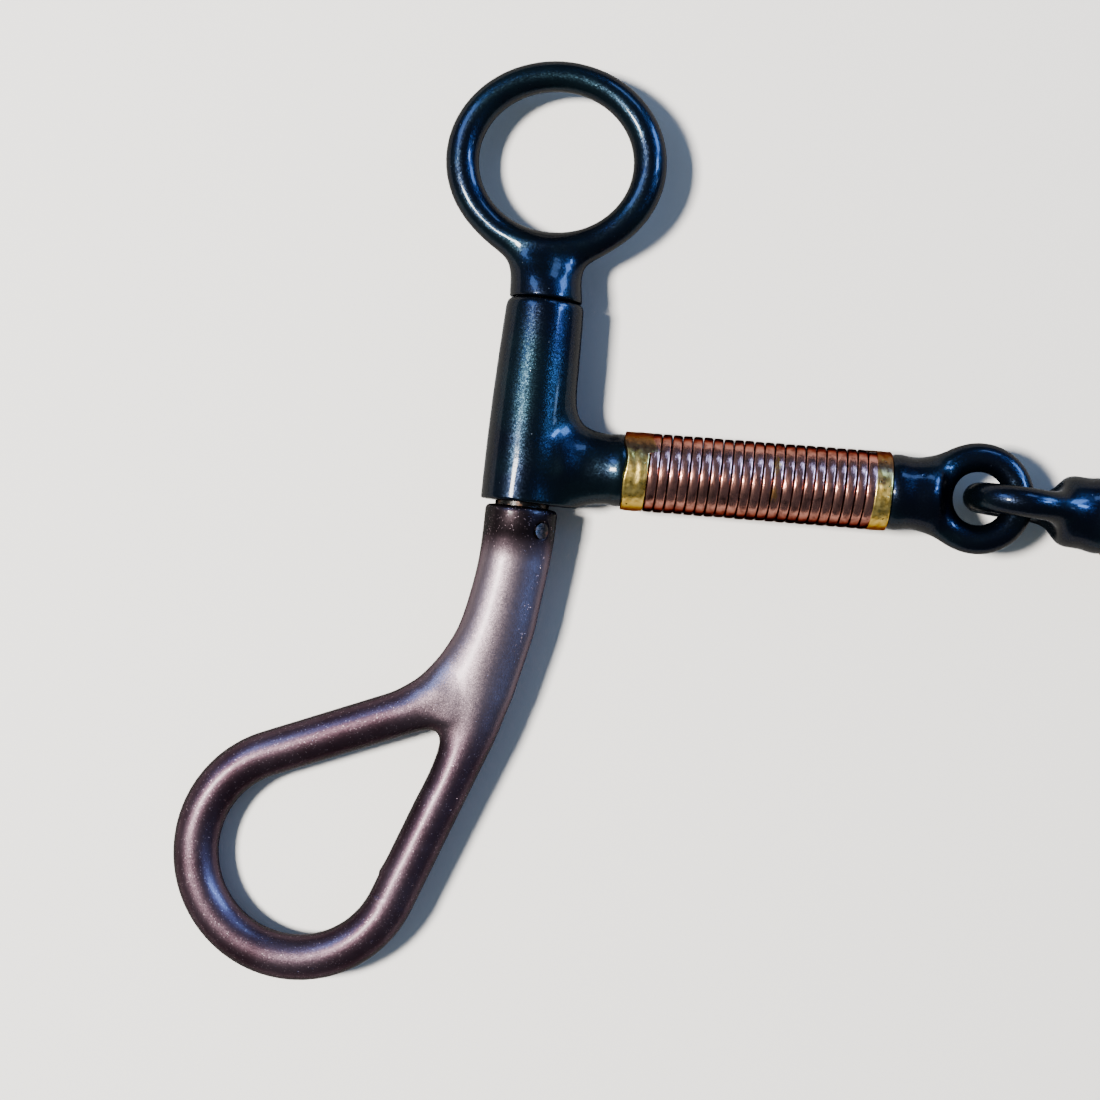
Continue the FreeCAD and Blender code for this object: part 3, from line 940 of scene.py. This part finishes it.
for side in ("left", "right"):
    blued, browned = blued_steel(side), browned_steel(side)
    copper, brass, bright = copper_wire(side), brazed_brass(side), bright_steel(side)
    wear(rings[side], blued)
    wear(arms[side], blued)
    wear(shanks[side], browned)
    wear(wires[side], copper)
    for end in ("outer", "inner"):
        wear(bands[f"{side}_{end}_brazing"], brass)
    for name in ("spindle", "thrust_washer", "ring_lock_pin", "shank_lock_pin"):
        carried = frame["nodes"][f"{side}_{name}"]
        for slot in carried.material_slots:
            slot.material = bright
print("finishes:", [material.name for material in bpy.data.materials])

# %% [markdown]
# ## Floor, light and camera
# A pale floor and soft boxes stand in for a table in a studio. The key is a soft box high on the left,
# so it runs one bright streak down each round bar and throws the shadows to the right. Five blue
# boxes, low on the other sides, stand for open sky: they give the blue black finish something to
# mirror. They are left out of matt light, because they would turn the floor blue. The sky itself is
# a little brighter on the left. The camera looks straight down, close in, turned a few degrees.

# %% A pale floor
def plain_material(name, colour, roughness):
    material = bpy.data.materials.new(name)
    material.use_nodes = True
    shader = material.node_tree.nodes["Principled BSDF"]
    shader.inputs["Base Color"].default_value = (*colour, 1)
    shader.inputs["Roughness"].default_value = roughness
    return material


floor_reach = 3.0
floor_drop = 0.1 * MM
corners = [(-1, -1), (1, -1), (1, 1), (-1, 1)]
floor_mesh = bpy.data.meshes.new("floor")
floor_mesh.from_pydata([(floor_reach * x, floor_reach * y, 0) for x, y in corners], [], [(0, 1, 2, 3)])
floor = bpy.data.objects.new("floor", floor_mesh)
floor.location.z = -floor_drop
floor_mesh.materials.append(plain_material("pale_floor", (0.72, 0.705, 0.68), 0.8))
bpy.context.scene.collection.objects.link(floor)

# %% Soft boxes
warm_white = (1.0, 0.96, 0.9)
sky_blue = (0.2, 0.42, 1.0)
lit_middle = Vector((-0.06, -0.01, 0))


def soft_box(name, place, size, power, colour):
    """An area light at a place in metres, aimed at the middle of the left half."""
    light = bpy.data.lights.new(name, "AREA")
    light.shape = "RECTANGLE"
    light.size, light.size_y = size
    light.energy = power
    light.color = colour
    box = bpy.data.objects.new(name, light)
    box.location = place
    aim = lit_middle - box.location
    box.rotation_euler = aim.to_track_quat("-Z", "Y").to_euler()
    box.visible_diffuse = name == "key_box"
    bpy.context.scene.collection.objects.link(box)
    return box


soft_box("key_box", (-0.66, -0.03, 0.97), (0.17, 0.17), 52, warm_white)
soft_box("right_box", (0.80, 0.12, 0.44), (0.03, 0.12), 0.6, (0.3, 0.55, 1.0))
soft_box("corner_box", (0.64, 0.30, 0.62), (0.13, 0.24), 15, sky_blue)
soft_box("far_box", (0.66, 0.54, 0.42), (0.26, 0.34), 20, sky_blue)
soft_box("back_box", (0.24, 0.80, 0.58), (0.30, 0.20), 5, sky_blue)
soft_box("left_box", (-0.67, 0.39, 0.70), (0.26, 0.40), 11, sky_blue)

# %% A sky that is brighter on the left
world = bpy.data.worlds.new("studio")
world.use_nodes = True
tree = world.node_tree
direction = node(tree, "TexCoord").outputs["Generated"]
leftward = node(tree, "SeparateXYZ", {0: direction}).outputs[0]
sky = mixed(tree, between(tree, leftward, -0.14, -0.26), (0.15, 0.18, 0.23), (0.24, 0.32, 0.37))
tree.links.new(sky, tree.nodes["Background"].inputs["Color"])
tree.nodes["Background"].inputs["Strength"].default_value = 1.0
bpy.context.scene.world = world

# %% The camera
camera_data = bpy.data.cameras.new("camera")
camera_data.lens = 65
camera_data.sensor_width = 36
camera_data.clip_start = 0.01
camera = bpy.data.objects.new("camera", camera_data)
camera.location = cheek_at["left"] + Vector((4.9, -12.4, 293.95)) * MM
camera.rotation_euler = (0, 0, math.radians(6.7))
bpy.context.scene.collection.objects.link(camera)
bpy.context.scene.camera = camera
print("camera at", [round(c / MM, 1) for c in camera.location], "mm")
